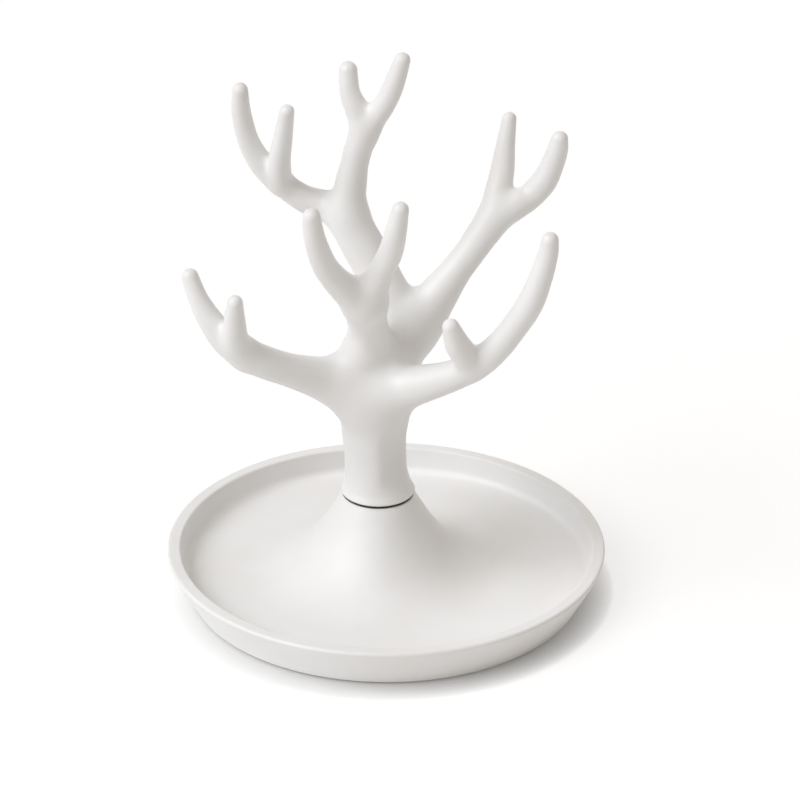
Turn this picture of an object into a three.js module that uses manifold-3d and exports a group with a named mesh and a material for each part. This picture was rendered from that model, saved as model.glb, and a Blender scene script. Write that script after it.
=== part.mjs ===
// Jewelry stand: a round dish with a flared boss in it, and an antler-shaped tree that plugs into
// the boss. Earrings and rings hang on the prongs, and small things lie in the dish.
// Millimetres, +Z up. The origin is on the table, under the centre of the dish.

import * as THREE from 'three';
import Module from 'manifold-3d';
import { MarchingCubes } from 'three/addons/objects/MarchingCubes.js';
import { mergeVertices } from 'three/addons/utils/BufferGeometryUtils.js';

// Dish
const DISH_RADIUS = 50;
const DISH_HEIGHT = 10.3;
const FOOT_RADIUS = 45;
const FOOT_RING_WIDTH = 3;
const FOOT_RING_DEPTH = 1.2;
const FLOOR_THICKNESS = 3.5;
const RIM_WIDTH = 3;
const RIM_OUTER_ROUND = 0.6;
const RIM_INNER_ROUND = 0.5;
const WALL_DRAFT = 0.6;
const COVE_RADIUS = 1.7;
const FOOT_ROUND = 0.6;

// Boss in the dish, and the socket in it
const BOSS_OFFSET = -1.9;
const BOSS_TOP_RADIUS = 8.4;
const BOSS_HEIGHT = 24.6;
const BOSS_FLARE_RADIUS = 31;
const BOSS_TOP_ROUND = 0.4;
const BOSS_FLARE_DIP = 0.35;
const BOSS_WALL = 3;

// Tree
const TREE_RISE = 105;
const BRANCH_REACH = 46;
const TRUNK_RADIUS = 7;
const LIMB_RADIUS = 5;
const TRUNK_BLEND = 4.5;
const FORK_BLEND = 3;
const PRONG_BLEND = 2;

// Spigot under the trunk
const SPIGOT_CLEARANCE = 0.5;
const SPIGOT_LENGTH = 14.5;
const SPIGOT_END_CLEARANCE = 1;
const SPIGOT_CHAMFER = 0.7;
const SPIGOT_ROOT = 3;

// Rubber pieces
const WASHER_THICKNESS = 0.5;
const WASHER_INSET = 0.3;
const GRIP_RING_WIRE = 1.2;
const GRIP_RING_CLEARANCE = 0.2;
const UPPER_RING_DEPTH = 4;
const LOWER_RING_SETBACK = 3.5;
const PAD_RADIUS = 4;
const PAD_PROTRUSION = 0.5;
const PAD_INSET = 4;
const SEAT_GAP = 0.05;

// Allowances of the modelling itself
const CUT_OVERRUN = 3;
const WELD_DISTANCE = 0.0005;

// Counts of copies and facets
const PAD_COUNT = 4;
const DISH_FACETS = 72;
const BOSS_FACETS = 48;
const SPIGOT_FACETS = 32;
const RING_FACETS = 32;
const RING_WIRE_FACETS = 6;
const PAD_FACETS = 24;
const ARC_STEPS = 4;
const FLARE_STEPS = 10;
const SPAN_STEPS = 4;
const TREE_CELL_COUNT = 70;
const SKIN_TRIANGLE_COUNT = 20000;
const RELAX_ROUNDS = 3;
const PROJECT_ROUNDS = 2;
const RELAX_SHARE = 0.5;
const PROBE_SHARE = 0.01;
const OFF_GRID_SHARE = 0.02;

// Levels and radii that follow from the sizes
const footLevel = PAD_PROTRUSION;
const recessLevel = footLevel + FOOT_RING_DEPTH;
const floorLevel = recessLevel + FLOOR_THICKNESS;
const rimLevel = footLevel + DISH_HEIGHT;
const bossTopLevel = BOSS_HEIGHT;
const washerLevel = bossTopLevel + SEAT_GAP;
const shoulderLevel = washerLevel + WASHER_THICKNESS + SEAT_GAP;
const spigotTipLevel = shoulderLevel - SPIGOT_LENGTH;
const socketFloorLevel = spigotTipLevel - SPIGOT_END_CLEARANCE;
const socketRadius = BOSS_TOP_RADIUS - BOSS_WALL;
const spigotRadius = socketRadius - SPIGOT_CLEARANCE;
const gripRingOuterRadius = socketRadius - GRIP_RING_CLEARANCE;
const gripRingInnerRadius = gripRingOuterRadius - GRIP_RING_WIRE;
const grooveRadius = gripRingInnerRadius - GRIP_RING_CLEARANCE;
const grooveWidth = GRIP_RING_WIRE + 2 * GRIP_RING_CLEARANCE;
const upperRingLevel = shoulderLevel - UPPER_RING_DEPTH;
const lowerRingLevel = spigotTipLevel + LOWER_RING_SETBACK;
const padCircleRadius = FOOT_RADIUS - FOOT_RING_WIDTH - PAD_INSET - PAD_RADIUS;

const wasm = await Module();
wasm.setup();

// Solids: from a three.js geometry and back

function toSolid(geometry) {
  const bare = geometry.clone();
  bare.deleteAttribute('normal');
  bare.deleteAttribute('uv');
  const merged = mergeVertices(bare, WELD_DISTANCE);
  return new wasm.Manifold(new wasm.Mesh({
    numProp: 3,
    vertProperties: new Float32Array(merged.attributes.position.array),
    triVerts: new Uint32Array(merged.index.array),
  }));
}

function toGeometry(solid) {
  const mesh = solid.getMesh();
  const geometry = new THREE.BufferGeometry();
  geometry.setAttribute('position', new THREE.BufferAttribute(mesh.vertProperties, 3));
  geometry.setIndex(new THREE.BufferAttribute(mesh.triVerts, 1));
  geometry.computeVertexNormals();
  return geometry;
}

// A solid of revolution about Z. The outline holds points of radius and height.
function revolve(outline, facets) {
  const geometry = new THREE.LatheGeometry(outline, facets);
  geometry.rotateX(Math.PI / 2);
  return geometry;
}

// Points of a round corner, from one angle to another in degrees
function roundCorner(centreRadius, centreLevel, radius, fromDegrees, toDegrees) {
  const points = [];
  for (let step = 0; step <= ARC_STEPS; step += 1) {
    const angle = THREE.MathUtils.degToRad(
      THREE.MathUtils.lerp(fromDegrees, toDegrees, step / ARC_STEPS));
    points.push(new THREE.Vector2(
      centreRadius + radius * Math.cos(angle), centreLevel + radius * Math.sin(angle)));
  }
  return points;
}

// Dish: recessed underside, foot ring, sloping wall, rounded rim, cove and flat floor

function dishOutline() {
  const innerRadius = DISH_RADIUS - RIM_WIDTH;
  const coveCentre = innerRadius - WALL_DRAFT - COVE_RADIUS;
  const wallLean = THREE.MathUtils.radToDeg(Math.atan2(DISH_RADIUS - FOOT_RADIUS, DISH_HEIGHT));
  return [
    new THREE.Vector2(0, recessLevel),
    new THREE.Vector2(FOOT_RADIUS - FOOT_RING_WIDTH, recessLevel),
    new THREE.Vector2(FOOT_RADIUS - FOOT_RING_WIDTH, footLevel),
    ...roundCorner(FOOT_RADIUS - FOOT_ROUND, footLevel + FOOT_ROUND, FOOT_ROUND, -90, -wallLean),
    ...roundCorner(
      DISH_RADIUS - RIM_OUTER_ROUND, rimLevel - RIM_OUTER_ROUND, RIM_OUTER_ROUND, -wallLean, 90),
    ...roundCorner(innerRadius + RIM_INNER_ROUND, rimLevel - RIM_INNER_ROUND, RIM_INNER_ROUND, 90, 180),
    ...roundCorner(coveCentre, floorLevel + COVE_RADIUS, COVE_RADIUS, 0, -90),
    new THREE.Vector2(0, floorLevel),
  ];
}

// Boss: a column that widens in a hollow curve until it dips under the dish floor
function bossOutline() {
  const rise = bossTopLevel - floorLevel;
  const spread = BOSS_FLARE_RADIUS - BOSS_TOP_RADIUS;
  const steepShares = [0.14, 0.25];
  const flatShares = [0.36, 0.985];
  const flare = new THREE.CubicBezierCurve(
    new THREE.Vector2(BOSS_TOP_RADIUS, bossTopLevel - BOSS_TOP_ROUND),
    new THREE.Vector2(
      BOSS_TOP_RADIUS + steepShares[0] * spread, bossTopLevel - steepShares[1] * rise),
    new THREE.Vector2(
      BOSS_TOP_RADIUS + flatShares[0] * spread, bossTopLevel - flatShares[1] * rise),
    new THREE.Vector2(BOSS_FLARE_RADIUS, floorLevel - BOSS_FLARE_DIP),
  );
  return [
    new THREE.Vector2(0, recessLevel + FLOOR_THICKNESS / 2),
    new THREE.Vector2(BOSS_FLARE_RADIUS, recessLevel + FLOOR_THICKNESS / 2),
    ...flare.getPoints(FLARE_STEPS).reverse(),
    new THREE.Vector2(BOSS_TOP_RADIUS - BOSS_TOP_ROUND, bossTopLevel),
    new THREE.Vector2(0, bossTopLevel),
  ];
}

function socketCutter() {
  const length = bossTopLevel - socketFloorLevel + CUT_OVERRUN;
  const cutter = new THREE.CylinderGeometry(socketRadius, socketRadius, length, BOSS_FACETS);
  cutter.rotateX(Math.PI / 2);
  cutter.translate(BOSS_OFFSET, 0, socketFloorLevel + length / 2);
  return cutter;
}

function trayGeometry() {
  const dish = toSolid(revolve(dishOutline(), DISH_FACETS));
  const boss = toSolid(revolve(bossOutline(), BOSS_FACETS).translate(BOSS_OFFSET, 0, 0));
  return toGeometry(dish.add(boss).subtract(toSolid(socketCutter())));
}

// Tree: every limb is a chain of points. Each point is a share of the branch reach across and in
// depth, and a share of the tree's rise. The last share is the thickness: on the trunk it leads
// from the trunk's own radius to the boss's, and elsewhere it is a share of the limb radius.
// Prongs and forks start inside the limb that carries them.

const trunkShares = [
  [0, 0, -0.048, 2],
  [0, 0, -0.005, 0.72],
  [-0.005, 0, 0.02, 0.32],
  [-0.01, 0, 0.048, 0.05],
  [-0.02, -0.01, 0.11, 0.02],
  [-0.02, -0.035, 0.15, 0.2],
  [-0.012, -0.06, 0.195, 0.6],
  [-0.02, -0.06, 0.25, 0.2],
];

const limbShares = {
  left: [
    [-0.03, -0.08, 0.245, 1.34], [-0.14, -0.11, 0.272, 1.34], [-0.27, -0.15, 0.305, 0.98],
    [-0.42, -0.22, 0.34, 0.77], [-0.56, -0.27, 0.373, 0.74], [-0.663, -0.29, 0.403, 0.71],
    [-0.745, -0.29, 0.433, 0.66], [-0.817, -0.28, 0.478, 0.55], [-0.87, -0.26, 0.52, 0.45],
    [-0.91, -0.23, 0.565, 0.39],
  ],
  left_web: [[-0.13, -0.1, 0.326, 0.76], [-0.085, -0.1, 0.353, 0.8]],
  front: [
    [0, 0.05, 0.249, 1.25], [-0.03, -0.03, 0.342, 1.04], [-0.05, -0.12, 0.427, 0.9],
    [-0.065, -0.19, 0.495, 0.98],
  ],
  right: [
    [-0.04, -0.09, 0.249, 1.25], [0.09, -0.13, 0.275, 1.06], [0.19, -0.18, 0.298, 0.9],
    [0.35, -0.26, 0.337, 0.71], [0.48, -0.3, 0.377, 0.68], [0.568, -0.34, 0.421, 0.64],
    [0.645, -0.35, 0.468, 0.6], [0.727, -0.35, 0.528, 0.6], [0.78, -0.34, 0.59, 0.535],
    [0.814, -0.33, 0.645, 0.46], [0.822, -0.33, 0.676, 0.4],
  ],
  back: [
    [0, 0.02, 0.26, 1.36], [0.09, 0.09, 0.325, 1.3], [0.18, 0.14, 0.375, 1.16],
  ],
};

const forkShares = {
  front_left: [
    [-0.08, -0.21, 0.507, 0.86], [-0.147, -0.26, 0.54, 0.72], [-0.212, -0.31, 0.581, 0.61],
    [-0.262, -0.36, 0.626, 0.56], [-0.304, -0.41, 0.694, 0.49], [-0.32, -0.43, 0.75, 0.41],
  ],
  front_right: [
    [-0.05, -0.19, 0.495, 0.62], [-0.025, -0.24, 0.545, 0.68], [0.013, -0.28, 0.592, 0.58],
    [0.057, -0.315, 0.643, 0.55], [0.082, -0.36, 0.699, 0.49], [0.105, -0.38, 0.757, 0.38],
  ],
  back_right: [
    [0.168, 0.13, 0.366, 1.14], [0.266, 0.18, 0.417, 0.95], [0.37, 0.24, 0.474, 0.73],
    [0.447, 0.28, 0.515, 0.69], [0.516, 0.32, 0.555, 0.74], [0.585, 0.35, 0.588, 0.74],
    [0.676, 0.37, 0.611, 0.66], [0.738, 0.39, 0.625, 0.6], [0.805, 0.4, 0.658, 0.59],
    [0.844, 0.41, 0.694, 0.53], [0.87, 0.41, 0.73, 0.48], [0.88, 0.41, 0.757, 0.39],
  ],
  back_left: [
    [0.13, 0.14, 0.38, 1.12], [0.055, 0.17, 0.434, 0.98], [-0.035, 0.22, 0.505, 0.97],
    [-0.124, 0.26, 0.575, 0.93], [-0.16, 0.28, 0.615, 0.73],
  ],
  back_left_side: [
    [-0.15, 0.28, 0.598, 0.74], [-0.24, 0.32, 0.612, 0.72], [-0.36, 0.34, 0.627, 0.62],
    [-0.47, 0.35, 0.66, 0.56], [-0.564, 0.35, 0.703, 0.56], [-0.633, 0.34, 0.76, 0.49],
    [-0.669, 0.32, 0.83, 0.45], [-0.675, 0.29, 0.894, 0.36],
  ],
  top: [
    [-0.15, 0.28, 0.62, 0.7], [-0.138, 0.28, 0.675, 0.72], [-0.12, 0.27, 0.725, 0.63],
    [-0.098, 0.26, 0.77, 0.63], [-0.072, 0.25, 0.81, 0.54],
  ],
  top_left: [
    [-0.075, 0.25, 0.8, 0.3], [-0.107, 0.26, 0.85, 0.5], [-0.143, 0.28, 0.895, 0.46],
    [-0.152, 0.3, 0.94, 0.42],
  ],
  top_right: [
    [-0.065, 0.25, 0.795, 0.3], [0.003, 0.24, 0.855, 0.49], [0.052, 0.23, 0.9, 0.48],
    [0.084, 0.23, 0.94, 0.44], [0.11, 0.23, 0.981, 0.37],
  ],
};

const prongShares = {
  left: [
    [-0.645, -0.28, 0.388, 0.62], [-0.688, -0.35, 0.444, 0.59], [-0.692, -0.39, 0.5, 0.48],
    [-0.688, -0.42, 0.546, 0.355],
  ],
  right: [
    [0.445, -0.3, 0.373, 0.6], [0.41, -0.36, 0.417, 0.6], [0.38, -0.39, 0.446, 0.56],
    [0.35, -0.42, 0.492, 0.38],
  ],
  back_right: [
    [0.553, 0.35, 0.585, 0.6], [0.578, 0.4, 0.625, 0.6], [0.603, 0.46, 0.67, 0.55],
    [0.619, 0.51, 0.725, 0.43], [0.636, 0.55, 0.776, 0.325],
  ],
  back_left: [
    [-0.48, 0.33, 0.67, 0.5], [-0.484, 0.27, 0.735, 0.5], [-0.467, 0.23, 0.795, 0.435],
    [-0.446, 0.17, 0.869, 0.34],
  ],
};

// A limb as short tapered links, with the smoothing that joins it to the rest of the tree
function makeLimb(pointShares, radiusOf, blend) {
  const places = pointShares.map(([across, depth, height]) => new THREE.Vector3(
    BOSS_OFFSET + across * BRANCH_REACH, depth * BRANCH_REACH, shoulderLevel + height * TREE_RISE));
  const widths = pointShares.map(([, , , share]) => new THREE.Vector3(radiusOf(share), 0, 0));
  const spine = new THREE.CatmullRomCurve3(places, false, 'catmullrom');
  const girth = new THREE.CatmullRomCurve3(widths, false, 'catmullrom');
  const steps = (pointShares.length - 1) * SPAN_STEPS;
  const nodes = spine.getPoints(steps);
  const radii = girth.getPoints(steps).map((width) => width.x);
  const box = new THREE.Box3().setFromPoints(nodes).expandByScalar(Math.max(...radii) + TRUNK_BLEND);
  return { nodes, radii, blend, box };
}

function trunkRadius(share) {
  return THREE.MathUtils.lerp(TRUNK_RADIUS, BOSS_TOP_RADIUS, share);
}

function limbRadius(share) {
  return share * LIMB_RADIUS;
}

function growTree() {
  const limbs = [makeLimb(trunkShares, trunkRadius, TRUNK_BLEND)];
  for (const shares of Object.values(limbShares)) {
    limbs.push(makeLimb(shares, limbRadius, TRUNK_BLEND));
  }
  for (const shares of Object.values(forkShares)) {
    limbs.push(makeLimb(shares, limbRadius, FORK_BLEND));
  }
  for (const shares of Object.values(prongShares)) {
    limbs.push(makeLimb(shares, limbRadius, PRONG_BLEND));
  }
  return limbs;
}

const link = new THREE.Vector3();
const offset = new THREE.Vector3();

// Distance from a point to a limb's skin, negative inside it
function distanceToLimb(point, limb) {
  let nearest = Infinity;
  for (let step = 1; step < limb.nodes.length; step += 1) {
    const start = limb.nodes[step - 1];
    link.subVectors(limb.nodes[step], start);
    offset.subVectors(point, start);
    const along = THREE.MathUtils.clamp(offset.dot(link) / link.lengthSq(), 0, 1);
    const radius = THREE.MathUtils.lerp(limb.radii[step - 1], limb.radii[step], along);
    nearest = Math.min(nearest, offset.addScaledVector(link, -along).length() - radius);
  }
  return nearest;
}

// The smaller of two distances, rounded off where they are alike, which fills the crotch
function smoothMinimum(first, second, blend) {
  const overlap = Math.max(blend - Math.abs(first - second), 0);
  return Math.min(first, second) - overlap * overlap / (4 * blend);
}

function distanceToTree(point, limbs) {
  let distance = BRANCH_REACH;
  for (const limb of limbs) {
    if (limb.box.containsPoint(point)) {
      distance = smoothMinimum(distance, distanceToLimb(point, limb), limb.blend);
    }
  }
  return distance;
}

// The skin of the tree, on a cubic grid with a margin round the boxes of the limbs. Distances close
// to zero are moved off it, so that the skin doesn't run through the grid's own corners.
function skinOfTree(limbs) {
  const box = new THREE.Box3();
  for (const limb of limbs) {
    box.union(limb.box);
  }
  const centre = box.getCenter(new THREE.Vector3());
  const size = box.getSize(new THREE.Vector3());
  const half = Math.max(size.x, size.y, size.z) / 2 + LIMB_RADIUS;
  const least = OFF_GRID_SHARE * half / TREE_CELL_COUNT;
  const paint = new THREE.MeshBasicMaterial();
  const grid = new MarchingCubes(TREE_CELL_COUNT, paint, false, false, SKIN_TRIANGLE_COUNT);
  grid.isolation = 0;
  const point = new THREE.Vector3();
  for (let index = 0; index < grid.field.length; index += 1) {
    point.set(index % grid.size, Math.floor(index / grid.yd) % grid.size, Math.floor(index / grid.zd));
    point.subScalar(grid.halfsize).multiplyScalar(half / grid.halfsize).add(centre);
    const distance = distanceToTree(point, limbs);
    grid.field[index] = Math.abs(distance) < least ? -least : -distance;
  }
  grid.update();
  const corners = grid.positionArray.slice(0, 3 * grid.count);
  const skin = new THREE.BufferGeometry();
  skin.setAttribute('position', new THREE.BufferAttribute(corners, 3));
  skin.scale(half, half, half);
  skin.translate(centre.x, centre.y, centre.z);
  return mergeVertices(skin, WELD_DISTANCE);
}

// Each corner moves towards the middle of its neighbours and back onto the skin
function relaxSkin(skin, limbs) {
  const position = skin.attributes.position;
  const corners = [];
  const neighbours = [];
  for (let index = 0; index < position.count; index += 1) {
    corners.push(new THREE.Vector3().fromBufferAttribute(position, index));
    neighbours.push(new Set());
  }
  const order = skin.index.array;
  for (let first = 0; first < order.length; first += 3) {
    for (let side = 0; side < 3; side += 1) {
      neighbours[order[first + side]].add(order[first + (side + 1) % 3]);
      neighbours[order[first + side]].add(order[first + (side + 2) % 3]);
    }
  }
  for (let round = 0; round < RELAX_ROUNDS; round += 1) {
    const middles = neighbours.map((around) => {
      const middle = new THREE.Vector3();
      for (const index of around) {
        middle.add(corners[index]);
      }
      return middle.divideScalar(around.size);
    });
    corners.forEach((cornerPoint, index) => {
      cornerPoint.lerp(middles[index], RELAX_SHARE);
      cornerPoint.copy(projectToSkin(cornerPoint, limbs));
      position.setXYZ(index, cornerPoint.x, cornerPoint.y, cornerPoint.z);
    });
  }
}

function projectToSkin(point, limbs) {
  const probe = PROBE_SHARE * LIMB_RADIUS;
  const probed = new THREE.Vector3();
  const place = point.clone();
  for (let round = 0; round < PROJECT_ROUNDS; round += 1) {
    const distance = distanceToTree(place, limbs);
    const slope = new THREE.Vector3();
    for (let axis = 0; axis < 3; axis += 1) {
      probed.copy(place).setComponent(axis, place.getComponent(axis) + probe);
      slope.setComponent(axis, distanceToTree(probed, limbs) - distance);
    }
    place.addScaledVector(slope.normalize(), -distance);
  }
  return place;
}

// Everything below the trunk's shoulder, where the tree is cut flat
function shoulderCutter() {
  const width = 4 * BOSS_TOP_RADIUS;
  const cutter = new THREE.BoxGeometry(width, width, width);
  cutter.translate(BOSS_OFFSET, 0, shoulderLevel - width / 2);
  return cutter;
}

// Spigot: a round peg with a groove for each grip ring, rooted inside the trunk
function spigotOutline() {
  const outline = [
    new THREE.Vector2(0, spigotTipLevel),
    new THREE.Vector2(spigotRadius - SPIGOT_CHAMFER, spigotTipLevel),
    new THREE.Vector2(spigotRadius, spigotTipLevel + SPIGOT_CHAMFER),
  ];
  for (const ringLevel of [lowerRingLevel, upperRingLevel]) {
    const low = ringLevel - grooveWidth / 2;
    const high = low + grooveWidth;
    outline.push(
      new THREE.Vector2(spigotRadius, low),
      new THREE.Vector2(grooveRadius, low),
      new THREE.Vector2(grooveRadius, high),
      new THREE.Vector2(spigotRadius, high),
    );
  }
  outline.push(
    new THREE.Vector2(spigotRadius, shoulderLevel + SPIGOT_ROOT),
    new THREE.Vector2(0, shoulderLevel + SPIGOT_ROOT),
  );
  return outline;
}

function treeGeometry() {
  const limbs = growTree();
  const skin = skinOfTree(limbs);
  relaxSkin(skin, limbs);
  const spigot = revolve(spigotOutline(), SPIGOT_FACETS).translate(BOSS_OFFSET, 0, 0);
  return toGeometry(toSolid(skin).subtract(toSolid(shoulderCutter())).add(toSolid(spigot)));
}

// Washer between the boss and the trunk: the dark line round the joint
function washerGeometry() {
  const inner = socketRadius + GRIP_RING_CLEARANCE;
  const outer = BOSS_TOP_RADIUS - WASHER_INSET;
  return revolve([
    new THREE.Vector2(inner, 0),
    new THREE.Vector2(outer, 0),
    new THREE.Vector2(outer, WASHER_THICKNESS),
    new THREE.Vector2(inner, WASHER_THICKNESS),
    new THREE.Vector2(inner, 0),
  ], BOSS_FACETS);
}

function gripRingGeometry() {
  const wireRadius = GRIP_RING_WIRE / 2;
  return new THREE.TorusGeometry(
    gripRingOuterRadius - wireRadius, wireRadius, RING_WIRE_FACETS, RING_FACETS);
}

// Foot pads: round pads stuck in the recess under the dish, a little prouder than the foot ring
function padGeometry() {
  const height = recessLevel - SEAT_GAP;
  const pad = new THREE.CylinderGeometry(PAD_RADIUS, PAD_RADIUS, height, PAD_FACETS);
  pad.rotateX(Math.PI / 2);
  pad.translate(0, 0, height / 2);
  return pad;
}

// Materials

function ceramic() {
  return new THREE.MeshStandardMaterial({ color: '#efedea', roughness: 0.45, metalness: 0 });
}

function blackRubber() {
  return new THREE.MeshStandardMaterial({ color: '#26221e', roughness: 0.85, metalness: 0 });
}

function clearGreyRubber() {
  return new THREE.MeshStandardMaterial({ color: '#c9c7c2', roughness: 0.7, metalness: 0 });
}

// Assembly

const stand = new THREE.Group();

function place(name, geometry, material, x = 0, y = 0, z = 0) {
  const mesh = new THREE.Mesh(geometry, material);
  mesh.name = name;
  mesh.position.set(x, y, z);
  stand.add(mesh);
}

place('tray', trayGeometry(), ceramic());
place('antler_tree', treeGeometry(), ceramic());
place('seam_washer', washerGeometry(), blackRubber(), BOSS_OFFSET, 0, washerLevel);
place('upper_grip_ring', gripRingGeometry(), blackRubber(), BOSS_OFFSET, 0, upperRingLevel);
place('lower_grip_ring', gripRingGeometry(), blackRubber(), BOSS_OFFSET, 0, lowerRingLevel);
for (let index = 0; index < PAD_COUNT; index += 1) {
  const angle = (index + 0.5) * 2 * Math.PI / PAD_COUNT;
  place(`foot_pad_${index + 1}`, padGeometry(), clearGreyRubber(),
    padCircleRadius * Math.cos(angle), padCircleRadius * Math.sin(angle), 0);
}

export default stand;
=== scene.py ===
# Jewelry stand: a glazed dish with a flared boss in it, and an antler-shaped tree that plugs into
# the boss on two rubber rings. Metres, +Z up, the origin on the table under the dish's centre.

import math

import bmesh
import bpy
import numpy as np
from mathutils import Matrix, Vector


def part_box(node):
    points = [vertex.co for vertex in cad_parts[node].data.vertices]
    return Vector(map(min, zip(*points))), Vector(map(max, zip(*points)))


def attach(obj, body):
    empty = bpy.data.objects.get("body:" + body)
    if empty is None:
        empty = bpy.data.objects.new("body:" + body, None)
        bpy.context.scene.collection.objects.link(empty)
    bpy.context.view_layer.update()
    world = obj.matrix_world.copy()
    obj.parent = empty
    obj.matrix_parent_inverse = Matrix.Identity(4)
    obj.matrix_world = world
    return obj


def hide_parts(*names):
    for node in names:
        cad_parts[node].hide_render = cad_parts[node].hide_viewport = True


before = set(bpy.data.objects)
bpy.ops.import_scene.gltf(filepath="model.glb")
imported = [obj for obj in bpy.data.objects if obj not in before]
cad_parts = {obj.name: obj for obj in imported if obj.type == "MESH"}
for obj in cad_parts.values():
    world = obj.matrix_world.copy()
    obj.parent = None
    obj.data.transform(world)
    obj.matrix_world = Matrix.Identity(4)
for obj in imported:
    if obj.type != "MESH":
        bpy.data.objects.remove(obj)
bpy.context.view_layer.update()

MM = 0.001

# Dish
DISH_HEIGHT = 10.3 * MM
FOOT_RADIUS = 45 * MM
FOOT_RING_WIDTH = 3 * MM
FOOT_ROUND = 0.6 * MM
FLOOR_THICKNESS = 3.5 * MM
RIM_WIDTH = 3 * MM
RIM_OUTER_ROUND = 0.6 * MM
RIM_INNER_ROUND = 0.5 * MM
WALL_DRAFT = 0.6 * MM
COVE_RADIUS = 1.7 * MM
EDGE_ROUND = 0.3 * MM

# Boss in the dish, and the socket in it
BOSS_FLARE_RADIUS = 31 * MM
BOSS_TOP_ROUND = 0.4 * MM
SOCKET_RADIUS = 5.4 * MM
SPIGOT_END_CLEARANCE = 1 * MM

# Tree
TREE_RISE = 105 * MM
BRANCH_REACH = 46 * MM
TRUNK_RADIUS = 7 * MM
LIMB_RADIUS = 5 * MM
TRUNK_BLEND = 4.5 * MM
FORK_BLEND = 3 * MM
PRONG_BLEND = 2 * MM
TRUNK_FOOT = 1.5 * MM
SHOULDER_ROUND = 0.4 * MM

# Soft arris down the front of the trunk and the boss: its depth on each, and where it fades
ARRIS_AZIMUTH = math.radians(276)
ARRIS_SOFTNESS = 0.08
ARRIS_GAIN = 2.6
TRUNK_ARRIS = 0.55 * MM
TRUNK_ARRIS_START = 2 * MM
TRUNK_ARRIS_FADE_IN = 5 * MM
TRUNK_ARRIS_END_SHARE = 0.165
TRUNK_ARRIS_FADE_OUT_SHARE = 0.06
BOSS_ARRIS = 0.3 * MM
BOSS_ARRIS_FADE_IN = 3 * MM

# Spigot and rubber pieces
GRIP_RINGS = ("upper_grip_ring", "lower_grip_ring")
SPIGOT_RADIUS = 4.9 * MM
SPIGOT_CHAMFER = 0.7 * MM
GROOVE_CLEARANCE = 0.2 * MM
WASHER_INSET = 0.3 * MM
WASHER_ROUND = 0.15 * MM
SEAT_GAP = 0.05 * MM
PAD_ROUND = 0.35 * MM

# Grain of the meshes
SKIN_CELL = 0.6 * MM
SUPPORT = 0.12 * MM
SUPPORT_LIMIT_SHARE = 0.4
POLE_RADIUS = 2 * MM
TURNS = 256
ROUND_STEPS = 6
FLARE_STEPS = 64
SPAN_STEPS = 8
TUBE_SIDES = 32
SETTLE_ROUNDS = 6
RELAX_SHARE = 0.5
PROBE = 0.01 * MM
CHUNK = 20000

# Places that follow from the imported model
tray_low, tray_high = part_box("tray")
washer_low, washer_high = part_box("seam_washer")
dish_radius = tray_high.x
foot_level = tray_low.z
recess_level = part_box("foot_pad_1")[1].z + SEAT_GAP
floor_level = recess_level + FLOOR_THICKNESS
rim_level = foot_level + DISH_HEIGHT
boss_x = (washer_low.x + washer_high.x) / 2
boss_top = tray_high.z
seam_radius = washer_high.y + WASHER_INSET
shoulder = washer_high.z + SEAT_GAP
spigot_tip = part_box("antler_tree")[0].z
socket_floor = spigot_tip - SPIGOT_END_CLEARANCE

# Camera, as the photograph was taken
CAMERA_DISTANCE = 1.5
CAMERA_LENS = 298.65
CAMERA_HEIGHT_ANGLE = math.radians(27.808)
CAMERA_ROLL = math.radians(0.261)
CAMERA_TARGET = Vector((3.008 * MM, 0, 48.276 * MM))

# Studio floor: how much of it glows where it is seen, and the contact shadow in that glow
FLOOR_HALF = 4.0
GLOW_SHARE = 0.6
GLOW_STRENGTH = 1.12
CONTACT_REACH = 7 * MM
CONTACT_RAYS = 8
TOWARDS_LIGHT = {"X": -0.58, "Y": 0.40, "Z": 0.71}


# Meshes

def quads_between(rows, columns, closed_rows):
    """Faces of a grid whose columns close on themselves, and whose rows do if closed_rows."""
    last = rows if closed_rows else rows - 1
    row, column = np.meshgrid(np.arange(last), np.arange(columns), indexing="ij")
    next_row = (row + 1) % rows
    next_column = (column + 1) % columns
    corners = [row * columns + column, row * columns + next_column,
               next_row * columns + next_column, next_row * columns + column]
    return np.stack(corners, axis=-1).reshape(-1, 4)


def closed_grid(points, first_pole=None, last_pole=None):
    """Points of rows and columns as one closed body: a fan from each pole, or joined end to end."""
    rows, columns = points.shape[:2]
    vertices = points.reshape(-1, 3)
    faces = [list(face) for face in quads_between(rows, columns, first_pole is None)]
    if first_pole is not None:
        ring = np.arange(columns)
        after = (ring + 1) % columns
        base = len(vertices)
        faces += [[base, b, a] for a, b in zip(ring, after)]
        end = (rows - 1) * columns
        faces += [[base + 1, end + a, end + b] for a, b in zip(ring, after)]
        vertices = np.vstack([vertices, first_pole, last_pole])
    return vertices, faces


def write_shell(shell, mesh):
    """Writes the shell to the mesh, smooth and with its faces outwards: the whole is turned over if
    its volume comes out negative."""
    if shell.calc_volume(signed=True) < 0:
        bmesh.ops.reverse_faces(shell, faces=shell.faces)
    shell.to_mesh(mesh)
    shell.free()
    mesh.polygons.foreach_set("use_smooth", np.ones(len(mesh.polygons), dtype=bool))


def make_mesh(name, vertices, faces):
    mesh = bpy.data.meshes.new(name)
    mesh.from_pydata(vertices.tolist(), [], faces)
    mesh.update()
    shell = bmesh.new()
    shell.from_mesh(mesh)
    write_shell(shell, mesh)
    return mesh


def make_piece(name, mesh, materials, body, node):
    """The shown object for a CAD node. Its faces take the first material until they are painted."""
    piece = bpy.data.objects.new(name, mesh)
    bpy.context.scene.collection.objects.link(piece)
    for material in materials:
        mesh.materials.append(material)
    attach(piece, body)
    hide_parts(node)


def paint_second(mesh, chosen):
    """Gives the chosen faces the mesh's second material."""
    mesh.polygons.foreach_set("material_index", chosen.astype(np.int32))


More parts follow.
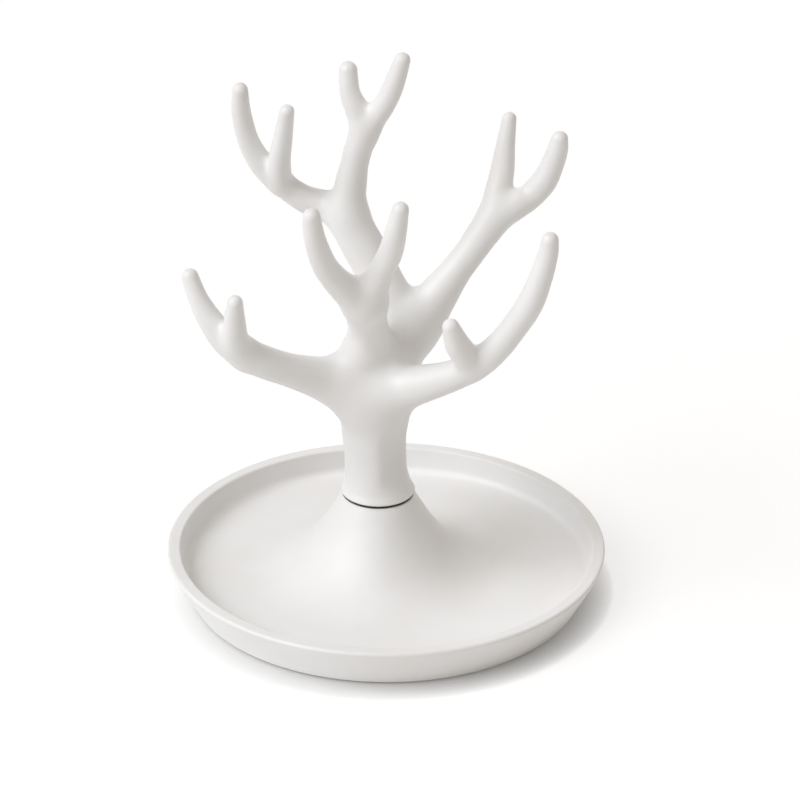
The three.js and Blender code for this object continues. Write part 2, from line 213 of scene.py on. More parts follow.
def round_angles(count):
    return np.linspace(0, 2 * math.pi, count, endpoint=False)


def corner(radius, level):
    """A single profile point."""
    return np.array([[radius, level]])


def arc(centre_radius, centre_level, radius, start, end):
    """Profile points on a circle, from one angle to another in degrees."""
    angle = np.radians(np.linspace(start, end, ROUND_STEPS + 1))
    return np.column_stack([centre_radius + radius * np.cos(angle),
                            centre_level + radius * np.sin(angle)])


def straight(start, end):
    """The inside of a straight stretch of profile: a point close to each of its ends, so that the
    shading of the round beside it stops there."""
    start, end = np.array(start), np.array(end)
    length = np.linalg.norm(end - start)
    share = min(SUPPORT / length, SUPPORT_LIMIT_SHARE)
    return np.array([start + share * (end - start), end - share * (end - start)])


def joined(*parts):
    """Profile parts one after the other, with a straight stretch between each and the next, unless
    they already touch."""
    pieces = [parts[0]]
    for part in parts[1:]:
        touching = np.allclose(pieces[-1][-1], part[0])
        pieces += [part[1:]] if touching else [straight(pieces[-1][-1], part[0]), part]
    return np.vstack(pieces)


def turned(profile, centre_x, turns=TURNS):
    """Point (i, j) is at radius r_i, height z_i and angle a_j about an upright axis that stands at
    x = c_i, so that x = c_i + r_i cos a_j, y = r_i sin a_j and z = z_i."""
    angle = round_angles(turns)
    radius, level = profile[:, :1], profile[:, 1:2]
    centre = np.broadcast_to(np.asarray(centre_x, dtype=float).reshape(-1, 1), radius.shape)
    return np.stack([centre + radius * np.cos(angle), radius * np.sin(angle),
                     level + 0 * angle], axis=-1)


def eased(share):
    """3 s^2 - 2 s^3, from 0 to 1 and level at both ends."""
    share = np.clip(share, 0, 1)
    return share * share * (3 - 2 * share)


def arris_share(azimuth):
    """How much of the arris's depth a round side is drawn in by: |sin d| cos^2 d at the angle d
    from the arris on the front half, a little rounded at d = 0, and nothing on the back half. The
    gain brings its peak close to 1."""
    away = azimuth - ARRIS_AZIMUTH
    rise = np.sqrt(np.sin(away) ** 2 + ARRIS_SOFTNESS ** 2) - ARRIS_SOFTNESS
    return ARRIS_GAIN * rise * np.maximum(np.cos(away), 0) ** 2


# Dish and boss

def boss_flare():
    """Radius and height of the boss's hollow side: the cubic (1-t)^3 p0 + 3t(1-t)^2 p1 +
    3t^2(1-t) p2 + t^3 p3 from the top edge, which ends on the floor nearly level with it."""
    spread = BOSS_FLARE_RADIUS - seam_radius
    rise = boss_top - floor_level
    steep_shares = (0.14, 0.25)
    flat_shares = (0.36, 0.985)
    points = np.array([
        [seam_radius, boss_top - BOSS_TOP_ROUND],
        [seam_radius + steep_shares[0] * spread, boss_top - steep_shares[1] * rise],
        [seam_radius + flat_shares[0] * spread, boss_top - flat_shares[1] * rise],
        [BOSS_FLARE_RADIUS, floor_level],
    ])
    t = np.linspace(0, 1, FLARE_STEPS + 1)[:, None]
    weights = np.hstack([(1 - t) ** 3, 3 * t * (1 - t) ** 2, 3 * t ** 2 * (1 - t), t ** 3])
    return weights @ points


def tray_profile():
    """The whole outline of the tray, from the socket's floor over the boss, the dish's floor and
    the rim to the middle of the underside, and the x of the axis that each of its rings is turned
    about: the boss's own as far as its flare, and from there it slides to the dish's."""
    inner = dish_radius - RIM_WIDTH
    cove_centre = inner - WALL_DRAFT - COVE_RADIUS
    wall_lean = math.degrees(math.atan2(dish_radius - FOOT_RADIUS, DISH_HEIGHT))
    foot_inner = FOOT_RADIUS - FOOT_RING_WIDTH
    outline = joined(
        corner(POLE_RADIUS, socket_floor),
        arc(SOCKET_RADIUS - EDGE_ROUND, socket_floor + EDGE_ROUND, EDGE_ROUND, -90, 0),
        arc(SOCKET_RADIUS + EDGE_ROUND, boss_top - EDGE_ROUND, EDGE_ROUND, 180, 90),
        arc(seam_radius - BOSS_TOP_ROUND, boss_top - BOSS_TOP_ROUND, BOSS_TOP_ROUND, 90, 0),
        boss_flare(),
        arc(cove_centre, floor_level + COVE_RADIUS, COVE_RADIUS, -90, 0),
        arc(inner + RIM_INNER_ROUND, rim_level - RIM_INNER_ROUND, RIM_INNER_ROUND, 180, 90),
        arc(dish_radius - RIM_OUTER_ROUND, rim_level - RIM_OUTER_ROUND, RIM_OUTER_ROUND, 90,
            -wall_lean),
        arc(FOOT_RADIUS - FOOT_ROUND, foot_level + FOOT_ROUND, FOOT_ROUND, -wall_lean, -90),
        arc(foot_inner + EDGE_ROUND, foot_level + EDGE_ROUND, EDGE_ROUND, -90, -180),
        arc(foot_inner - EDGE_ROUND, recess_level - EDGE_ROUND, EDGE_ROUND, 0, 90),
        corner(POLE_RADIUS, recess_level),
    )
    underside = np.arange(len(outline)) > np.argmax(outline[:, 0])
    slide = eased((outline[:, 0] - BOSS_FLARE_RADIUS) / (cove_centre - BOSS_FLARE_RADIUS))
    return outline, boss_x * (1 - np.where(underside, 1, slide))


def cut_boss_arris(points):
    """Draws the boss's side in towards its axis on both sides of the arris, from the seam, where
    nothing changes, to the end of the flare."""
    side = points[..., :2] - [boss_x, 0]
    radius = np.linalg.norm(side, axis=2)
    from_seam = radius - seam_radius
    fade = eased(from_seam / BOSS_ARRIS_FADE_IN) * (
        1 - eased(from_seam / (BOSS_FLARE_RADIUS - seam_radius)))
    fade *= points[..., 2] > floor_level
    pull = BOSS_ARRIS * fade * arris_share(np.arctan2(side[..., 1], side[..., 0])) / radius
    points[..., :2] -= pull[..., None] * side


def make_tray(glaze, bisque):
    """Glazed all over, but for the socket's wall and floor and the ring that it stands on."""
    outline, centres = tray_profile()
    points = turned(outline, centres)
    cut_boss_arris(points)
    vertices, faces = closed_grid(points, [boss_x, 0, socket_floor], [0, 0, recess_level])
    mesh = make_mesh("tray_glazed", vertices, faces)
    make_piece("tray_glazed", mesh, [glaze, bisque], "base", "tray")
    x, y, level = np.array([polygon.center[:] for polygon in mesh.polygons]).T
    in_socket = ((np.hypot(x - boss_x, y) < SOCKET_RADIUS) & (level > floor_level)
                 & (level < boss_top - EDGE_ROUND))
    on_foot = (level < foot_level + EDGE_ROUND / 2) & (np.hypot(x, y) < FOOT_RADIUS)
    paint_second(mesh, in_socket | on_foot)


# Tree: each limb's points are shares of the reach across and in depth, and of the tree's rise. The
# last share is the thickness: on the trunk it leads from the trunk's own radius to the seam's, and
# elsewhere it is a share of the limb radius.

TRUNK_SHARES = (
    (0, 0, -0.048, 2), (0, 0, -0.005, 0.72), (-0.005, 0, 0.02, 0.32), (-0.01, -0.004, 0.048, 0.05),
    (-0.014, -0.016, 0.1, 0.02), (-0.019, -0.03, 0.14, 0.18), (-0.018, -0.043, 0.17, 0.34),
    (-0.01, -0.054, 0.2, 0.34), (-0.02, -0.06, 0.25, 0.2),
)

LIMB_SHARES = {
    "left": (
        (-0.03, -0.08, 0.245, 1.34), (-0.14, -0.11, 0.275, 1.26), (-0.27, -0.15, 0.305, 0.98),
        (-0.42, -0.22, 0.34, 0.77), (-0.56, -0.27, 0.373, 0.74), (-0.663, -0.29, 0.403, 0.71),
        (-0.745, -0.29, 0.433, 0.66), (-0.817, -0.28, 0.478, 0.55), (-0.87, -0.26, 0.52, 0.45),
        (-0.91, -0.23, 0.565, 0.39),
    ),
    "left_web": ((-0.13, -0.1, 0.326, 0.76), (-0.085, -0.1, 0.353, 0.8)),
    "front": (
        (0, 0.05, 0.249, 1.25), (-0.03, -0.03, 0.342, 1.04), (-0.05, -0.12, 0.427, 0.9),
        (-0.065, -0.19, 0.495, 0.98),
    ),
    "right": (
        (-0.04, -0.09, 0.249, 1.25), (0.09, -0.13, 0.275, 1.06), (0.19, -0.18, 0.298, 0.9),
        (0.35, -0.26, 0.337, 0.71), (0.48, -0.3, 0.377, 0.68), (0.568, -0.34, 0.421, 0.64),
        (0.645, -0.35, 0.468, 0.6), (0.727, -0.35, 0.528, 0.6), (0.78, -0.34, 0.59, 0.535),
        (0.814, -0.33, 0.645, 0.46), (0.822, -0.33, 0.676, 0.4),
    ),
    "back": ((0, 0.02, 0.26, 1.36), (0.09, 0.09, 0.325, 1.3), (0.18, 0.14, 0.375, 1.16)),
}

FORK_SHARES = {
    "front_left": (
        (-0.08, -0.21, 0.507, 0.86), (-0.147, -0.26, 0.54, 0.72), (-0.212, -0.31, 0.581, 0.61),
        (-0.262, -0.36, 0.626, 0.56), (-0.304, -0.41, 0.694, 0.49), (-0.32, -0.43, 0.75, 0.41),
    ),
    "front_right": (
        (-0.05, -0.19, 0.495, 0.62), (-0.025, -0.24, 0.545, 0.68), (0.013, -0.28, 0.592, 0.58),
        (0.057, -0.315, 0.643, 0.55), (0.082, -0.36, 0.699, 0.49), (0.105, -0.38, 0.757, 0.38),
    ),
    "back_right": (
        (0.168, 0.13, 0.366, 1.14), (0.266, 0.18, 0.417, 0.95), (0.37, 0.24, 0.474, 0.73),
        (0.447, 0.28, 0.515, 0.69), (0.516, 0.32, 0.555, 0.74), (0.585, 0.35, 0.588, 0.74),
        (0.676, 0.37, 0.611, 0.66), (0.738, 0.39, 0.625, 0.6), (0.805, 0.4, 0.658, 0.59),
        (0.844, 0.41, 0.694, 0.53), (0.87, 0.41, 0.73, 0.48), (0.88, 0.41, 0.757, 0.39),
    ),
    "back_left": (
        (0.13, 0.14, 0.38, 1.12), (0.055, 0.17, 0.434, 0.98), (-0.035, 0.22, 0.505, 0.97),
        (-0.124, 0.26, 0.575, 0.93), (-0.16, 0.28, 0.615, 0.73),
    ),
    "back_left_side": (
        (-0.15, 0.28, 0.598, 0.74), (-0.24, 0.32, 0.612, 0.72), (-0.36, 0.34, 0.627, 0.62),
        (-0.47, 0.35, 0.66, 0.56), (-0.564, 0.35, 0.703, 0.56), (-0.633, 0.34, 0.76, 0.49),
        (-0.669, 0.32, 0.83, 0.45), (-0.675, 0.29, 0.894, 0.36),
    ),
    "top": (
        (-0.15, 0.28, 0.62, 0.7), (-0.138, 0.28, 0.675, 0.72), (-0.12, 0.27, 0.725, 0.63),
        (-0.098, 0.26, 0.77, 0.63), (-0.072, 0.25, 0.81, 0.54),
    ),
    "top_left": (
        (-0.075, 0.25, 0.8, 0.3), (-0.107, 0.26, 0.85, 0.5), (-0.143, 0.28, 0.895, 0.46),
        (-0.152, 0.3, 0.94, 0.42),
    ),
    "top_right": (
        (-0.065, 0.25, 0.795, 0.3), (0.003, 0.24, 0.855, 0.49), (0.052, 0.23, 0.9, 0.48),
        (0.084, 0.23, 0.94, 0.44), (0.11, 0.23, 0.978, 0.37),
    ),
}

PRONG_SHARES = {
    "left": (
        (-0.645, -0.28, 0.388, 0.62), (-0.688, -0.35, 0.444, 0.59), (-0.692, -0.39, 0.5, 0.48),
        (-0.688, -0.42, 0.546, 0.355),
    ),
    "right": (
        (0.445, -0.3, 0.373, 0.6), (0.41, -0.36, 0.417, 0.6), (0.38, -0.39, 0.446, 0.56),
        (0.35, -0.42, 0.492, 0.38),
    ),
    "back_right": (
        (0.553, 0.35, 0.585, 0.6), (0.578, 0.4, 0.625, 0.6), (0.603, 0.46, 0.67, 0.55),
        (0.619, 0.51, 0.725, 0.43), (0.636, 0.55, 0.776, 0.325),
    ),
    "back_left": (
        (-0.48, 0.33, 0.67, 0.5), (-0.484, 0.27, 0.735, 0.5), (-0.467, 0.23, 0.795, 0.435),
        (-0.446, 0.17, 0.869, 0.34),
    ),
}


def smooth_chain(points):
    """Each span is the cubic through its two points whose slopes are half the chords between their
    neighbours, in SPAN_STEPS even steps of its parameter."""
    ends = np.vstack([2 * points[0] - points[1], points, 2 * points[-1] - points[-2]])
    before, start, stop, after = ends[:-3], ends[1:-2], ends[2:-1], ends[3:]
    t = (np.arange(SPAN_STEPS) / SPAN_STEPS)[None, :, None]
    start_slope, stop_slope = (stop - before) / 2, (after - start) / 2
    spans = (start[:, None] * (2 * t ** 3 - 3 * t ** 2 + 1)
             + stop[:, None] * (3 * t ** 2 - 2 * t ** 3)
             + start_slope[:, None] * (t ** 3 - 2 * t ** 2 + t)
             + stop_slope[:, None] * (t ** 3 - t ** 2))
    return np.vstack([spans.reshape(-1, points.shape[1]), points[-1]])


def make_limb(shares, radius_of, blend, arris=False):
    """A limb as a smooth chain of points with a radius at each, and how far it blends into what it
    grows from."""
    table = np.array(shares, dtype=float)
    places = np.column_stack([boss_x + table[:, 0] * BRANCH_REACH, table[:, 1] * BRANCH_REACH,
                              shoulder + table[:, 2] * TREE_RISE, radius_of(table[:, 3])])
    chain = smooth_chain(places)
    return {"nodes": chain[:, :3], "radii": chain[:, 3], "blend": blend, "arris": arris}


def grow_tree():
    limbs = [make_limb(TRUNK_SHARES, lambda s: TRUNK_RADIUS + s * (seam_radius - TRUNK_RADIUS),
                       TRUNK_BLEND, arris=True)]
    for table, blend in ((LIMB_SHARES, TRUNK_BLEND), (FORK_SHARES, FORK_BLEND),
                         (PRONG_SHARES, PRONG_BLEND)):
        limbs += [make_limb(shares, lambda s: s * LIMB_RADIUS, blend) for shares in table.values()]
    return limbs


def limb_tube(limb):
    """A round profile carried along the limb's path: point (i, j) is p_i + r_i (n_i cos a_j +
    b_i sin a_j), and each end is closed by half a ball of the end's radius."""
    nodes, radii = limb["nodes"], limb["radii"]
    tangents = np.gradient(nodes, axis=0)
    tangents /= np.linalg.norm(tangents, axis=1, keepdims=True)
    lean = np.radians(np.linspace(0, 90, ROUND_STEPS + 1)[1:-1])
    tail = nodes[0] - tangents[0] * radii[0] * np.sin(lean[::-1])[:, None]
    tip = nodes[-1] + tangents[-1] * radii[-1] * np.sin(lean)[:, None]
    centres = np.vstack([tail, nodes, tip])
    widths = np.concatenate([radii[0] * np.cos(lean[::-1]), radii, radii[-1] * np.cos(lean)])
    along = np.vstack([np.repeat(tangents[:1], len(lean), axis=0), tangents,
                       np.repeat(tangents[-1:], len(lean), axis=0)])
    depth = np.array([0.0, 1.0, 0.0])
    normals = depth - (along @ depth)[:, None] * along
    normals /= np.linalg.norm(normals, axis=1, keepdims=True)
    sides = np.cross(along, normals)
    angle = round_angles(TUBE_SIDES)[None, :, None]
    points = centres[:, None] + widths[:, None, None] * (
        normals[:, None] * np.cos(angle) + sides[:, None] * np.sin(angle))
    return closed_grid(points, nodes[0] - tangents[0] * radii[0],
                       nodes[-1] + tangents[-1] * radii[-1])


def trunk_arris(side, level):
    """What the trunk's side is drawn in by, between its foot and where the limbs leave it."""
    height = level - shoulder
    past_end = height / TREE_RISE - TRUNK_ARRIS_END_SHARE
    fade = eased((height - TRUNK_ARRIS_START) / TRUNK_ARRIS_FADE_IN) * (
        1 - eased(past_end / TRUNK_ARRIS_FADE_OUT_SHARE))
    return TRUNK_ARRIS * fade * arris_share(np.arctan2(side[:, 1], side[:, 0]))


def distance_to_limb(points, limb):
    """Least distance from each point to the limb's tapered links, less the radius there, with the
    arris cut into it if the limb has one."""
    starts = limb["nodes"][:-1]
    links = np.diff(limb["nodes"], axis=0)
    squares = np.einsum("ij,ij->i", links, links)
    offsets = points[:, None] - starts
    along = np.clip(np.einsum("pij,ij->pi", offsets, links) / squares, 0, 1)
    radius = limb["radii"][:-1] + along * np.diff(limb["radii"])
    sides = offsets - along[..., None] * links
    gaps = np.linalg.norm(sides, axis=2) - radius
    if not limb["arris"]:
        return gaps.min(axis=1)
    nearest = gaps.argmin(axis=1)
    picked = np.arange(len(points))
    return gaps[picked, nearest] + trunk_arris(sides[picked, nearest], points[:, 2])


def distance_to_tree(points, limbs):
    """The limbs' distances one after the other through a smooth minimum: the smaller of the two,
    less (b - difference) squared over 4 b where they differ by less than the blend b."""
    distance = np.full(len(points), BRANCH_REACH)
    for limb in limbs:
        margin = limb["radii"].max() + TRUNK_BLEND
        near = np.all((points > limb["nodes"].min(axis=0) - margin)
                      & (points < limb["nodes"].max(axis=0) + margin), axis=1)
        picked = np.flatnonzero(near)
        for part in np.array_split(picked, len(picked) // CHUNK + 1):
            own = distance_to_limb(points[part], limb)
            held = distance[part]
            overlap = np.maximum(limb["blend"] - np.abs(held - own), 0)
            distance[part] = np.minimum(held, own) - overlap ** 2 / (4 * limb["blend"])
    return distance


def onto_skin(points, limbs):
    """One step of each point along the slope of the distance, by the distance."""
    distance = distance_to_tree(points, limbs)
    slope = np.column_stack([distance_to_tree(points + PROBE * axis, limbs) - distance
                             for axis in np.eye(3)])
    slope /= np.linalg.norm(slope, axis=1, keepdims=True)
    return points - distance[:, None] * slope


def relaxed(points, edges):
    """Each point moved by RELAX_SHARE of the way to the mean of its neighbours."""
    total = np.zeros_like(points)
    count = np.zeros(len(points))
    for first, second in ((0, 1), (1, 0)):
        np.add.at(total, edges[:, first], points[edges[:, second]])
        np.add.at(count, edges[:, first], 1)
    return points + RELAX_SHARE * (total / count[:, None] - points)


def tree_skin(limbs):
    """The limbs' tubes made one even mesh, whose points are then eased along it and moved onto the
    blended skin in turns."""
    vertices, faces = [], []
    for limb in limbs:
        tube_vertices, tube_faces = limb_tube(limb)
        base = sum(len(part) for part in vertices)
        faces += [[index + base for index in face] for face in tube_faces]
        vertices.append(tube_vertices)
    tubes = bpy.data.objects.new("limb_tubes", make_mesh("limb_tubes", np.vstack(vertices), faces))
    bpy.context.scene.collection.objects.link(tubes)
    remesh = tubes.modifiers.new("one_skin", "REMESH")
    remesh.mode = "VOXEL"
    remesh.voxel_size = SKIN_CELL
    remeshed = tubes.evaluated_get(bpy.context.evaluated_depsgraph_get())
    skin = bpy.data.meshes.new_from_object(remeshed)
    bpy.data.objects.remove(tubes)
    points = np.empty(3 * len(skin.vertices))
    skin.vertices.foreach_get("co", points)
    points = points.reshape(-1, 3)
    edges = np.empty(2 * len(skin.edges), dtype=np.int64)
    skin.edges.foreach_get("vertices", edges)
    edges = edges.reshape(-1, 2)
    for _ in range(SETTLE_ROUNDS):
        points = onto_skin(relaxed(points, edges), limbs)
    points = onto_skin(points, limbs)
    skin.vertices.foreach_set("co", points.ravel())
    skin.update()
    return skin


def spigot_profile():
    """From the round of the trunk's shoulder inwards, and down the spigot with its two grooves."""
    parts = [arc(seam_radius - SHOULDER_ROUND, shoulder + SHOULDER_ROUND, SHOULDER_ROUND, 0, -90),
             arc(SPIGOT_RADIUS + EDGE_ROUND, shoulder - EDGE_ROUND, EDGE_ROUND, 90, 180)]
    for node in GRIP_RINGS:
        low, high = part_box(node)
        top = high.z + GROOVE_CLEARANCE
        bottom = low.z - GROOVE_CLEARANCE
        inner = high.y - (high.z - low.z) - 2 * GROOVE_CLEARANCE
        parts += [corner(SPIGOT_RADIUS, top), corner(inner, top),
                  corner(inner, bottom), corner(SPIGOT_RADIUS, bottom)]
    parts += [corner(SPIGOT_RADIUS, spigot_tip + SPIGOT_CHAMFER),
              corner(SPIGOT_RADIUS - SPIGOT_CHAMFER, spigot_tip),
              corner(POLE_RADIUS, spigot_tip)]
    return joined(*parts)


def add_spigot(shell):
    """Closes the trunk's open edge with rings of as many points as the edge has, at the same angles
    about the boss's axis: a few lead from the edge to the shoulder's round, and the rest follow the
    shoulder and the spigot to its tip."""
    edge = [vertex for vertex in shell.verts if vertex.is_boundary]
    edge.sort(key=lambda vertex: math.atan2(vertex.co.y, vertex.co.x - boss_x))
    rim = np.array([vertex.co[:] for vertex in edge])
    angle = np.arctan2(rim[:, 1], rim[:, 0] - boss_x)
    profile = spigot_profile()
    rings = np.stack([boss_x + profile[:, :1] * np.cos(angle), profile[:, :1] * np.sin(angle),
                      profile[:, 1:2] + 0 * angle], axis=-1)
    fade = np.linspace(0, 1, ROUND_STEPS + 2)[1:-1, None, None]
    foot = rim + fade * (rings[0] - rim)
    previous = edge
    for ring in np.concatenate([foot, rings]):
        current = [shell.verts.new(place) for place in ring]
        for index, vertex in enumerate(current):
            shell.faces.new((previous[index - 1], previous[index], vertex, current[index - 1]))
        previous = current
    tip = shell.verts.new((boss_x, 0, spigot_tip))
    for index, vertex in enumerate(previous):
        shell.faces.new((previous[index - 1], vertex, tip))


def make_tree(glaze, bisque):
    """The skin, cut off level above the trunk's foot, and the foot and spigot below it. The glaze
    ends at the shoulder."""
    skin = tree_skin(grow_tree())
    shell = bmesh.new()
    shell.from_mesh(skin)
    bpy.data.meshes.remove(skin)
    cut = Vector((boss_x, 0, shoulder + TRUNK_FOOT))
    bmesh.ops.bisect_plane(shell, geom=shell.verts[:] + shell.edges[:] + shell.faces[:], dist=PROBE,
                           plane_co=cut, plane_no=Vector((0, 0, 1)), clear_inner=True)
    add_spigot(shell)
    bmesh.ops.recalc_face_normals(shell, faces=shell.faces)
    mesh = bpy.data.meshes.new("antler_tree_glazed")
    write_shell(shell, mesh)
    make_piece("antler_tree_glazed", mesh, [glaze, bisque], "tree", "antler_tree")
    level = np.array([polygon.center.z for polygon in mesh.polygons])
    paint_second(mesh, level < shoulder + PROBE)


# Rubber pieces

def make_washer(rubber):
    """A flat ring with a rounded outer and inner edge, turned about the boss's axis."""
    inner = SOCKET_RADIUS + GROOVE_CLEARANCE
    outer = washer_high.y
    low, high = washer_low.z, washer_high.z
    profile = joined(
        arc(outer - WASHER_ROUND, low + WASHER_ROUND, WASHER_ROUND, -90, 0),
        arc(outer - WASHER_ROUND, high - WASHER_ROUND, WASHER_ROUND, 0, 90),
        arc(inner + WASHER_ROUND, high - WASHER_ROUND, WASHER_ROUND, 90, 180),
        arc(inner + WASHER_ROUND, low + WASHER_ROUND, WASHER_ROUND, 180, 270),
    )
    vertices, faces = closed_grid(turned(profile, boss_x))
    mesh = make_mesh("seam_washer_rubber", vertices, faces)
    make_piece("seam_washer_rubber", mesh, [rubber], "base", "seam_washer")


def make_grip_ring(node, rubber):
    """A round wire bent into a ring: a circle of the wire's radius turned about the boss's axis."""
    low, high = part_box(node)
    wire = (high.z - low.z) / 2
    angle = round_angles(TUBE_SIDES)
    profile = np.column_stack([high.y - wire + wire * np.cos(angle),
                               (low.z + high.z) / 2 + wire * np.sin(angle)])
    vertices, faces = closed_grid(turned(profile, boss_x, TURNS // 2))
    mesh = make_mesh(node + "_rubber", vertices, faces)
    make_piece(node + "_rubber", mesh, [rubber], "grip_rings", node)


def make_pad(node, silicone):
    """A disc with a rounded lower edge, turned about its own axis."""
    low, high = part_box(node)
    centre = (low + high) / 2
    radius = (high.x - low.x) / 2
    profile = joined(
        corner(POLE_RADIUS, low.z),
        arc(radius - PAD_ROUND, low.z + PAD_ROUND, PAD_ROUND, -90, 0),
        corner(radius, high.z - SUPPORT),
        corner(radius - SUPPORT, high.z),
        corner(POLE_RADIUS, high.z),
    )
    points = turned(profile, centre.x, TURNS // 4) + np.array([0, centre.y, 0])
    vertices, faces = closed_grid(points, [centre.x, centre.y, low.z], [centre.x, centre.y, high.z])
    mesh = make_mesh(node + "_silicone", vertices, faces)
    make_piece(node + "_silicone", mesh, [silicone], "base", node)


# Materials

def linear(hex_colour):
    """An sRGB hex colour as linear red, green, blue and alpha."""
    parts = [int(hex_colour[start:start + 2], 16) / 255 for start in (1, 3, 5)]
    return tuple(p / 12.92 if p <= 0.04045 else ((p + 0.055) / 1.055) ** 2.4 for p in parts) + (1,)


def add_node(tree, kind, inputs=None, **settings):
    """Adds one node, sets its properties, and fills or links each named input."""
    made = tree.nodes.new(kind)
    for name, value in settings.items():
        setattr(made, name, value)
    for name, value in (inputs or {}).items():
        if isinstance(value, bpy.types.NodeSocket):
            tree.links.new(value, made.inputs[name])
        else:
            made.inputs[name].default_value = value
    return made


def new_material(name):
    material = bpy.data.materials.new(name)
    material.use_nodes = True
    material.node_tree.nodes.clear()
    return material, material.node_tree


def mottle(tree, size, low=0.0, high=1.0, detail=2.0):
    """Soft patches about the given size across on Object coordinates, as values from low to high:
    the noise's usual range of 0.3 to 0.7 is carried to them."""
    place = add_node(tree, "ShaderNodeTexCoord")
    noise = add_node(tree, "ShaderNodeTexNoise", {
        "Vector": place.outputs["Object"], "Scale": 1 / size, "Detail": detail})
    return add_node(tree, "ShaderNodeMapRange", {
        "Value": noise.outputs["Fac"], "From Min": 0.3, "From Max": 0.7, "To Min": low,
        "To Max": high}).outputs["Result"]


def relief(tree, height, depth, under=None):
    """The normal of a surface with a relief of the given depth, laid over another one if given."""
    inputs = {"Height": height, "Distance": depth, "Strength": 1.0}
    if under is not None:
        inputs["Normal"] = under
    return add_node(tree, "ShaderNodeBump", inputs).outputs["Normal"]


def coat(tree, pattern, colours, roughness, ior, normal):
    """Ends a material with its surface, whose colour goes from the first to the second with the
    pattern."""
    tint = add_node(tree, "ShaderNodeMix", {
        0: pattern, 6: linear(colours[0]), 7: linear(colours[1])}, data_type="RGBA")
    shader = add_node(tree, "ShaderNodeBsdfPrincipled", {
        "Base Color": tint.outputs[2], "Roughness": roughness, "IOR": ior, "Normal": normal})
    add_node(tree, "ShaderNodeOutputMaterial", {"Surface": shader.outputs["BSDF"]})


def calculated(tree, operation, first, second):
    """The result of one sum on two values."""
    return add_node(tree, "ShaderNodeMath", {0: first, 1: second}, operation=operation).outputs[0]


def shown_rays(tree):
    """1 for rays that show the studio itself: those from the camera, and those mirrored by a gloss
    or passed on by something clear."""
    rays = add_node(tree, "ShaderNodeLightPath").outputs
    seen = calculated(tree, "MAXIMUM", rays["Is Camera Ray"], rays["Is Glossy Ray"])
    return calculated(tree, "MAXIMUM", seen, rays["Is Transmission Ray"])


def satin_glaze():
    """Earthenware under a white satin glaze, dipped and fired: a soft wide highlight, a faint
    orange peel from the fired glaze, slow waves from the cast body, and hardly any change of
    colour."""
    material, tree = new_material("satin_white_glaze")
    waves = relief(tree, mottle(tree, 9 * MM), 0.012 * MM)
    orange_peel = relief(tree, mottle(tree, 1.1 * MM), 0.0025 * MM, waves)
    roughness = mottle(tree, 14 * MM, low=0.42, high=0.48, detail=4.0)
    clouds = mottle(tree, 14 * MM, detail=4.0)
    coat(tree, clouds, ("#eff0f1", "#edecec"), roughness, ior=1.5, normal=orange_peel)
    return material


def bisque_clay():
    """Fired clay wiped bare of glaze where a piece stands in the kiln or plugs into another: dull,
    a little warmer than the glaze, with a fine sandy tooth."""
    material, tree = new_material("bare_bisque_clay")
    tooth = relief(tree, mottle(tree, 0.35 * MM), 0.012 * MM)
    coat(tree, mottle(tree, 6 * MM), ("#e6dfd3", "#dcd4c6"), roughness=0.85, ior=1.45, normal=tooth)
    return material


def moulded_rubber(name, dark, light, roughness):
    """Moulded rubber: dull, with the fine mottle and bloom that its surface has."""
    material, tree = new_material(name)
    bloom = mottle(tree, 0.5 * MM)
    coat(tree, bloom, (dark, light), roughness, ior=1.52, normal=relief(tree, bloom, 0.004 * MM))
    return material


# Studio: a white floor that keeps the shadow, a key lamp from the left, and a soft even sky

def floor_material():
    """Matt white paint, which takes the lamps' shadows. Where it is seen, more than half of it is a
    white glow instead, darkened where the dish is near on the side that the light comes from, so
    that the shadow stays short."""
    material, tree = new_material("studio_floor")
    paint = add_node(tree, "ShaderNodeBsdfDiffuse", {"Color": linear("#ffffff")})
    light_side = add_node(tree, "ShaderNodeCombineXYZ", TOWARDS_LIGHT)
    contact = add_node(tree, "ShaderNodeAmbientOcclusion", {
        "Distance": CONTACT_REACH, "Normal": light_side.outputs[0]}, samples=CONTACT_RAYS)
    strength = calculated(tree, "MULTIPLY", contact.outputs["AO"], GLOW_STRENGTH)
    glow = add_node(tree, "ShaderNodeEmission", {"Strength": strength})
    share = calculated(tree, "MULTIPLY", shown_rays(tree), GLOW_SHARE)
    mix = add_node(tree, "ShaderNodeMixShader", {0: share, 1: paint.outputs[0],
                                                 2: glow.outputs[0]})
    add_node(tree, "ShaderNodeOutputMaterial", {"Surface": mix.outputs[0]})
    return material


def make_floor():
    signs = ((-1, -1), (1, -1), (1, 1), (-1, 1))
    corners = [(x * FLOOR_HALF, y * FLOOR_HALF, 0) for x, y in signs]
    mesh = bpy.data.meshes.new("studio_floor")
    mesh.from_pydata(corners, [], [(0, 1, 2, 3)])
    floor = bpy.data.objects.new("studio_floor", mesh)
    bpy.context.scene.collection.objects.link(floor)
    mesh.materials.append(floor_material())


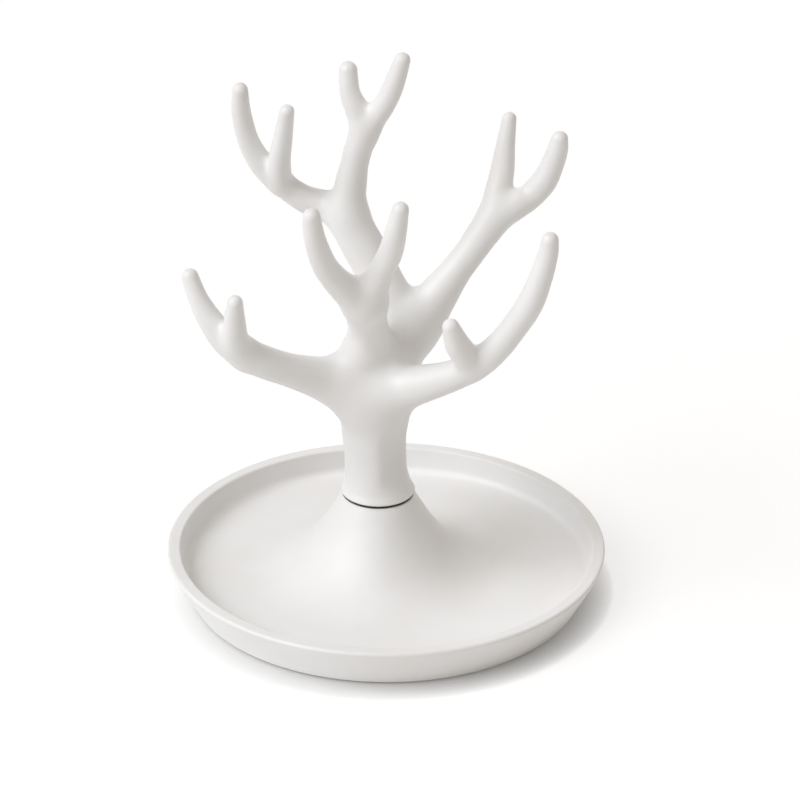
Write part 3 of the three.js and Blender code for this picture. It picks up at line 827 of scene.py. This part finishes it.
def make_sun(name, azimuth, height, strength, angle, colour="#ffffff"):
    """A far lamp: its light comes from the given azimuth and height in degrees, spread over the
    given angle."""
    lamp = bpy.data.lights.new(name, "SUN")
    lamp.energy = strength
    lamp.angle = math.radians(angle)
    lamp.color = linear(colour)[:3]
    holder = bpy.data.objects.new(name, lamp)
    holder.rotation_euler = (0, math.radians(90 - height), math.radians(azimuth))
    bpy.context.scene.collection.objects.link(holder)


def make_world():
    world = bpy.data.worlds.new("studio")
    bpy.context.scene.world = world
    world.use_nodes = True
    tree = world.node_tree
    tree.nodes.clear()
    sky = add_node(tree, "ShaderNodeBackground", {"Color": linear("#ffedd6"), "Strength": 0.24})
    backdrop = add_node(tree, "ShaderNodeBackground", {"Color": linear("#ffffff"), "Strength": 1.0})
    mix = add_node(tree, "ShaderNodeMixShader", {0: shown_rays(tree), 1: sky.outputs[0],
                                                 2: backdrop.outputs[0]})
    add_node(tree, "ShaderNodeOutputWorld", {"Surface": mix.outputs[0]})


def make_camera():
    camera = bpy.data.objects.new("camera", bpy.data.cameras.new("camera"))
    camera.data.lens = CAMERA_LENS
    camera.data.clip_start = 0.1
    camera.data.clip_end = 20
    back = Vector((0, -math.cos(CAMERA_HEIGHT_ANGLE), math.sin(CAMERA_HEIGHT_ANGLE)))
    turn = (Matrix.Rotation(math.pi / 2 - CAMERA_HEIGHT_ANGLE, 4, "X")
            @ Matrix.Rotation(CAMERA_ROLL, 4, "Z"))
    camera.matrix_world = Matrix.Translation(CAMERA_TARGET + CAMERA_DISTANCE * back) @ turn
    bpy.context.scene.collection.objects.link(camera)
    bpy.context.scene.camera = camera


# Assembly

make_camera()
make_floor()
make_world()
make_sun("key_left", azimuth=206, height=44, strength=2.3, angle=46, colour="#f9fcff")
make_sun("high_right", azimuth=0, height=65, strength=0.42, angle=40)
make_sun("back_right", azimuth=70, height=25, strength=0.25, angle=40)
bpy.context.scene.view_settings.view_transform = "Standard"

glaze = satin_glaze()
bisque = bisque_clay()
black_rubber = moulded_rubber("black_moulded_rubber", "#1c1916", "#26221e", roughness=0.7)
silicone = moulded_rubber("clear_grey_silicone", "#c6c4bf", "#d0cec9", roughness=0.5)

make_tray(glaze, bisque)
make_tree(glaze, bisque)
make_washer(black_rubber)
for node in GRIP_RINGS:
    make_grip_ring(node, black_rubber)
for node in sorted(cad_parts):
    if node.startswith("foot_pad_"):
        make_pad(node, silicone)
